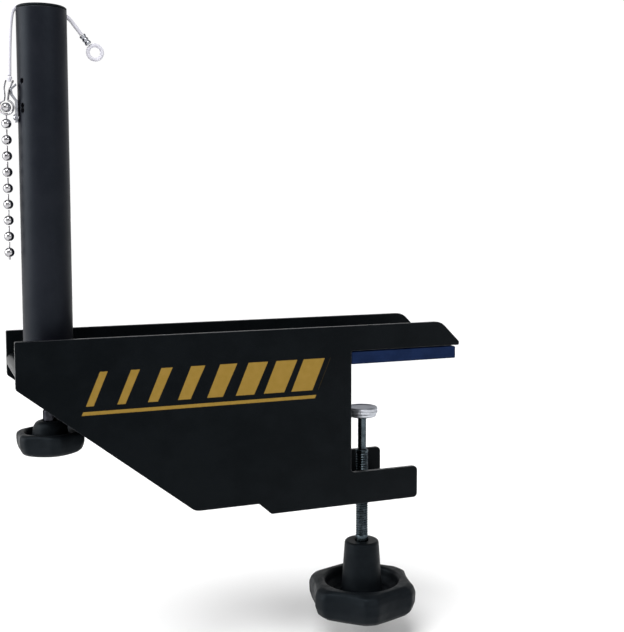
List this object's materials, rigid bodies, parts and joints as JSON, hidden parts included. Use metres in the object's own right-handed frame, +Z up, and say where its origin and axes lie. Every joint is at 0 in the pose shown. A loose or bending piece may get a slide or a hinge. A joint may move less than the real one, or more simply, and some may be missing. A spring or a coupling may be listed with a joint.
{
  "type": "table tennis net clamp",
  "caption": "Clamp that holds one end of a table tennis net: steel channel bracket, slotted post with cord and bead chain, height screw and clamp screw with star knobs.",
  "frame": {"origin": "centre of the jaw pad's underside, the face that rests on the table top", "axes": "+Z up along the post; +X along the net, towards the middle of the table; +Y across the clamp, from the front cheek to the rear cheek"},
  "size_m": [0.2199, 0.057, 0.2985],
  "materials": {
    "black_coat": "satin black powder coat with a fine orange peel",
    "black_post": "satin black powder coat",
    "black_plastic": "moulded matte black plastic",
    "rubber": "matte dark blue rubber",
    "zinc": "bright zinc plate, slightly blue",
    "nickel": "bright nickel plate",
    "cord": "white braided cord"
  },
  "bodies": {
    "bracket": {"front_cheek": "black_coat", "rear_cheek": "black_coat", "channel_web": "black_coat", "throat_plate": "black_coat", "arm_floor": "black_coat", "clamp_nut": "zinc", "height_nut": "zinc", "jaw_pad": "rubber", "guide_sleeve": "zinc"},
    "post": {"post_tube": "black_post", "post_cap": "black_plastic", "thrust_plug": "zinc", "chain_catch": "zinc", "catch_rivet": "zinc", "tension_cord": "cord", "cord_sleeve": "cord", "cord_crimp": "zinc", "cord_eye": "cord", "coupling_wire": "nickel", "bead_0": "nickel"},
    "height_drive": {"height_screw": "zinc", "thrust_washer": "zinc", "height_clip": "zinc", "height_knob": "black_plastic"},
    "clamp_pad": {"pressure_pad": "zinc"},
    "clamp_drive": {"clamp_screw": "zinc", "clamp_knob": "black_plastic"},
    "chain_1": {"bead_1": "nickel"},
    "chain_2": {"bead_2": "nickel"},
    "chain_3": {"bead_3": "nickel"},
    "chain_4": {"bead_4": "nickel"},
    "chain_5": {"bead_5": "nickel"},
    "chain_6": {"bead_6": "nickel"},
    "chain_7": {"bead_7": "nickel"},
    "chain_8": {"bead_8": "nickel"},
    "chain_9": {"bead_9": "nickel"}
  },
  "joints": [
    {"name": "post_lift", "type": "slide", "parent": "bracket", "child": "post", "axis": [0, 0, 1], "range_m": [-0.0025, 0.015]},
    {"name": "height_turn", "type": "hinge", "parent": "post", "child": "height_drive", "pos_m": [-0.1755, 0, 0], "axis": [0, 0, 1], "range_deg": [-720, 4320]},
    {"name": "clamp_travel", "type": "slide", "parent": "bracket", "child": "clamp_pad", "axis": [0, 0, 1], "range_m": [-0.01375, 0.025]},
    {"name": "clamp_turn", "type": "hinge", "parent": "clamp_pad", "child": "clamp_drive", "pos_m": [-0.0188, 0, 0], "axis": [0, 0, 1], "range_deg": [-3960, 7200]},
    {"name": "link_1", "type": "hinge", "parent": "post", "child": "chain_1", "pos_m": [-0.1915, 0, 0.11855], "axis": [0, 1, 0], "range_deg": [0, 25]},
    {"name": "link_2", "type": "hinge", "parent": "chain_1", "child": "chain_2", "pos_m": [-0.1915, 0, 0.11143], "axis": [1, 0, 0], "range_deg": [-25, 25]},
    {"name": "link_3", "type": "hinge", "parent": "chain_2", "child": "chain_3", "pos_m": [-0.1915, 0, 0.10431], "axis": [0, 1, 0], "range_deg": [0, 25]},
    {"name": "link_4", "type": "hinge", "parent": "chain_3", "child": "chain_4", "pos_m": [-0.1915, 0, 0.09719], "axis": [1, 0, 0], "range_deg": [-25, 25]},
    {"name": "link_5", "type": "hinge", "parent": "chain_4", "child": "chain_5", "pos_m": [-0.1915, 0, 0.09007], "axis": [0, 1, 0], "range_deg": [0, 25]},
    {"name": "link_6", "type": "hinge", "parent": "chain_5", "child": "chain_6", "pos_m": [-0.1915, 0, 0.08295], "axis": [1, 0, 0], "range_deg": [-25, 25]},
    {"name": "link_7", "type": "hinge", "parent": "chain_6", "child": "chain_7", "pos_m": [-0.1915, 0, 0.07583], "axis": [0, 1, 0], "range_deg": [0, 25]},
    {"name": "link_8", "type": "hinge", "parent": "chain_7", "child": "chain_8", "pos_m": [-0.1915, 0, 0.06871], "axis": [1, 0, 0], "range_deg": [-25, 25]},
    {"name": "link_9", "type": "hinge", "parent": "chain_8", "child": "chain_9", "pos_m": [-0.1915, 0, 0.06159], "axis": [0, 1, 0], "range_deg": [0, 25]}
  ],
  "couplings": [
    {"joint": "height_turn", "follows": "post_lift", "rad_per_m": 5026.5},
    {"joint": "clamp_turn", "follows": "clamp_travel", "rad_per_m": 5026.5}
  ]
}
